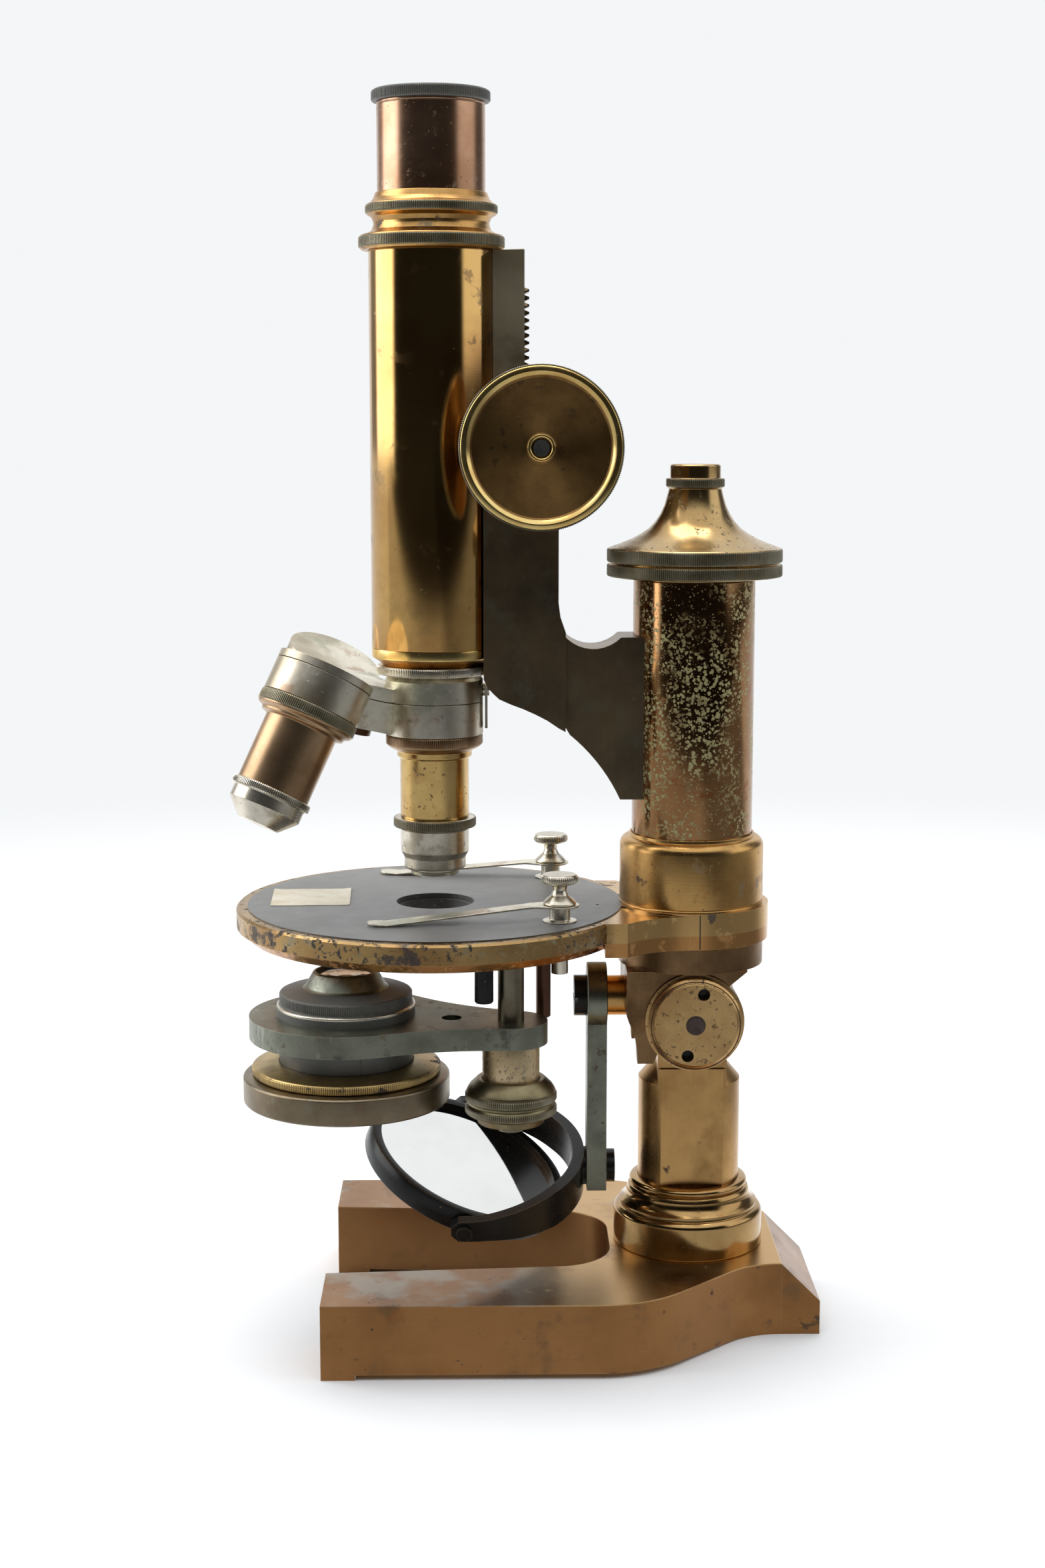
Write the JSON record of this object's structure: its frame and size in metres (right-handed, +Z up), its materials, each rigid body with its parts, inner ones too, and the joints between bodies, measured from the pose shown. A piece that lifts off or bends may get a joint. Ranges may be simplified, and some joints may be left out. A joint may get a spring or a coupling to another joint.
{
  "type": "compound microscope",
  "caption": "Antique brass compound microscope: horseshoe foot, inclining limb, rack-and-pinion tube, revolving nosepiece, round stage, swing-out condenser and mirror.",
  "frame": {"origin": "on the table, under the pillar that the column stands over", "axes": "+Z up along pillar and body tube; -X towards the open end of the foot and the stage; +Y across"},
  "size_m": [0.1554, 0.1097, 0.3242],
  "materials": {
    "foot_brass": "brushed, worn",
    "pillar_brass": "satin lacquered",
    "flange_brass": "polished",
    "hinge_brass": "satin, speckled",
    "stage_brass": "satin, pitted",
    "stage_black": "matt black hard rubber, dusty",
    "label_paper": "aged blank paper",
    "sleeve_brass": "satin, stained",
    "steel": "machined",
    "gunmetal": "blackened, worn",
    "blackened": "black enamel",
    "dark_rod": "dark brown lacquer",
    "nickel": "old nickel plate",
    "column_brass": "polished, flecked",
    "arm_brass": "dark brown-green patina",
    "head_brass": "polished, pitted",
    "knob_brass": "turned, knurled",
    "tube_brass": "polished lacquered",
    "bright_brass": "bright",
    "objective_brass": "lacquered, speckled",
    "objective_brown": "brushed, tarnished",
    "draw_brass": "tarnished copper-brown",
    "glass": "optical",
    "substage_brass": "speckled, pale",
    "nut_brass": "olive-brown patina",
    "iris_gold": "knurled",
    "mirror_glass": "silvered"
  },
  "bodies": {
    "stand": {"foot": "foot_brass", "pillar": "pillar_brass", "pillar_flange": "flange_brass"},
    "limb": {"joint_bracket": "pillar_brass", "hinge_bolt": "hinge_brass", "stage_frame": "stage_brass", "stage_plate": "stage_black", "stage_label": "label_paper", "lower_sleeve": "sleeve_brass", "fine_prism": "steel", "substage_post": "gunmetal", "condenser_pin": "blackened", "arm_stop_rod": "dark_rod", "mirror_stub": "stage_brass", "mirror_screw_top": "blackened"},
    "clip_near": {"clip_near_post": "nickel", "clip_near_blade": "nickel"},
    "clip_far": {"clip_far_post": "nickel", "clip_far_blade": "nickel"},
    "column": {"column_sleeve": "column_brass", "arm": "arm_brass", "pinion_housing_near": "arm_brass", "pinion_housing_far": "arm_brass"},
    "fine_head": {"fine_head": "head_brass"},
    "pinion": {"pinion_shaft": "steel", "coarse_knob_near": "knob_brass", "coarse_knob_far": "knob_brass"},
    "tube": {"main_tube": "tube_brass", "tube_head": "tube_brass", "tube_ring": "bright_brass", "tube_slide": "arm_brass", "rack": "arm_brass", "union_ring": "nickel", "nosepiece_cover": "nickel", "detent_spring": "nickel"},
    "nosepiece": {"nosepiece_carrier": "nickel", "nosepiece_bolt": "dark_rod", "objective_a_barrel": "objective_brass", "objective_a_front": "nickel", "objective_b_barrel": "objective_brown", "objective_b_front": "nickel", "objective_c": "objective_brown"},
    "draw_tube": {"draw_tube": "draw_brass"},
    "eyepiece": {"eyepiece": "blackened", "eye_lens": "glass", "field_lens": "glass"},
    "substage_lift": {"substage_sleeve": "substage_brass"},
    "substage_nut": {"substage_nut": "nut_brass"},
    "condenser": {"substage_arm": "gunmetal", "condenser_body": "blackened", "condenser_lens": "glass", "condenser_ring": "nut_brass"},
    "iris": {"iris_ring": "iris_gold"},
    "mirror_bar": {"mirror_bar": "gunmetal"},
    "mirror_fork": {"mirror_fork": "blackened", "mirror_screw_low": "blackened"},
    "mirror": {"mirror_frame": "blackened", "mirror_plane": "mirror_glass", "mirror_concave": "mirror_glass"}
  },
  "joints": [
    {"name": "inclination", "type": "hinge", "parent": "stand", "child": "limb", "pos_m": [0, 0, 0.0845], "axis": [0, 1, 0], "range_deg": [0, 85]},
    {"name": "clip_near_swing", "type": "hinge", "parent": "limb", "child": "clip_near", "pos_m": [-0.036, -0.026, 0.116], "axis": [0, 0, 1], "range_deg": [-20, 40]},
    {"name": "clip_far_swing", "type": "hinge", "parent": "limb", "child": "clip_far", "pos_m": [-0.0367, 0.0328, 0.116], "axis": [0, 0, 1], "range_deg": [-40, 20]},
    {"name": "fine_focus", "type": "slide", "parent": "limb", "child": "column", "axis": [0, 0, 1], "range_m": [-0.001, 0.0015]},
    {"name": "fine_head_spin", "type": "hinge", "parent": "column", "child": "fine_head", "pos_m": [0, 0, 0.21], "axis": [0, 0, 1], "range_deg": [-720, 1080]},
    {"name": "pinion_spin", "type": "hinge", "parent": "column", "child": "pinion", "pos_m": [-0.041, 0, 0.2346], "axis": [0, 1, 0], "range_deg": [-96, 765]},
    {"name": "coarse_focus", "type": "slide", "parent": "column", "child": "tube", "axis": [0, 0, 1], "range_m": [-0.005, 0.04]},
    {"name": "nosepiece_turn", "type": "hinge", "parent": "tube", "child": "nosepiece", "pos_m": [-0.0685, 0, 0.2373], "axis": [-0.2798, 0, -0.96], "continuous": true},
    {"name": "draw_tube_slide", "type": "slide", "parent": "tube", "child": "draw_tube", "axis": [0, 0, 1], "range_m": [-0.02, 0.035]},
    {"name": "eyepiece_lift", "type": "slide", "parent": "draw_tube", "child": "eyepiece", "axis": [0, 0, 1], "range_m": [0, 0.05]},
    {"name": "substage_focus", "type": "slide", "parent": "limb", "child": "substage_lift", "axis": [0, 0, 1], "range_m": [0, 0.003]},
    {"name": "substage_nut_spin", "type": "hinge", "parent": "substage_lift", "child": "substage_nut", "pos_m": [-0.0487, -0.0381, 0.07], "axis": [0, 0, 1], "range_deg": [0, 541]},
    {"name": "condenser_swing", "type": "hinge", "parent": "substage_lift", "child": "condenser", "pos_m": [-0.0487, -0.0381, 0.085], "axis": [0, 0, 1], "range_deg": [-52, 15]},
    {"name": "iris_turn", "type": "hinge", "parent": "condenser", "child": "iris", "pos_m": [-0.0909, -0.0302, 0.0775], "axis": [0, 0, 1], "range_deg": [-40, 40]},
    {"name": "mirror_bar_swing", "type": "hinge", "parent": "limb", "child": "mirror_bar", "pos_m": [-0.02785, 0, 0.088], "axis": [1, 0, 0], "range_deg": [-4, 45]},
    {"name": "mirror_fork_turn", "type": "hinge", "parent": "mirror_bar", "child": "mirror_fork", "pos_m": [-0.02785, 0, 0.0404], "axis": [1, 0, 0], "range_deg": [-25, 15]},
    {"name": "mirror_tilt", "type": "hinge", "parent": "mirror_fork", "child": "mirror", "pos_m": [-0.06085, 0, 0.0404], "axis": [0, 0.9707, 0.2402], "continuous": true}
  ],
  "couplings": [
    {"joint": "pinion_spin", "follows": "coarse_focus", "rad_per_m": 333.33},
    {"joint": "fine_head_spin", "follows": "fine_focus", "rad_per_m": 12566},
    {"joint": "substage_nut_spin", "follows": "substage_focus", "rad_per_m": 3141.6}
  ]
}
